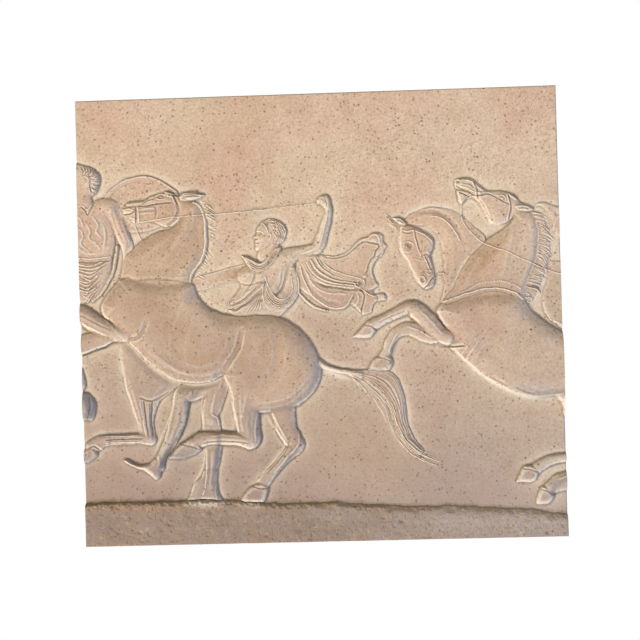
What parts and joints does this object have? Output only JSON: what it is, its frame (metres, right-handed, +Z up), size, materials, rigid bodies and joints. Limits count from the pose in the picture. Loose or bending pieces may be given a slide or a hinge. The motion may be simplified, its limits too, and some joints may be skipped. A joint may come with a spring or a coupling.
{
  "type": "plaster relief frieze",
  "caption": "Length of classical plaster relief frieze with rearing horses and the men who hold them, on a ground ledge, with a flat back for wall fixing.",
  "frame": {"origin": "middle of the flat back, where the panel meets the wall", "axes": "+Z up the panel, +X along the frieze to the viewer's right, the relief faces -Y and the back faces +Y"},
  "size_m": [0.645, 0.0488, 0.6],
  "materials": {
    "aged_plaster": "matte"
  },
  "bodies": {
    "root": {"relief_panel": "aged_plaster"}
  },
  "joints": []
}
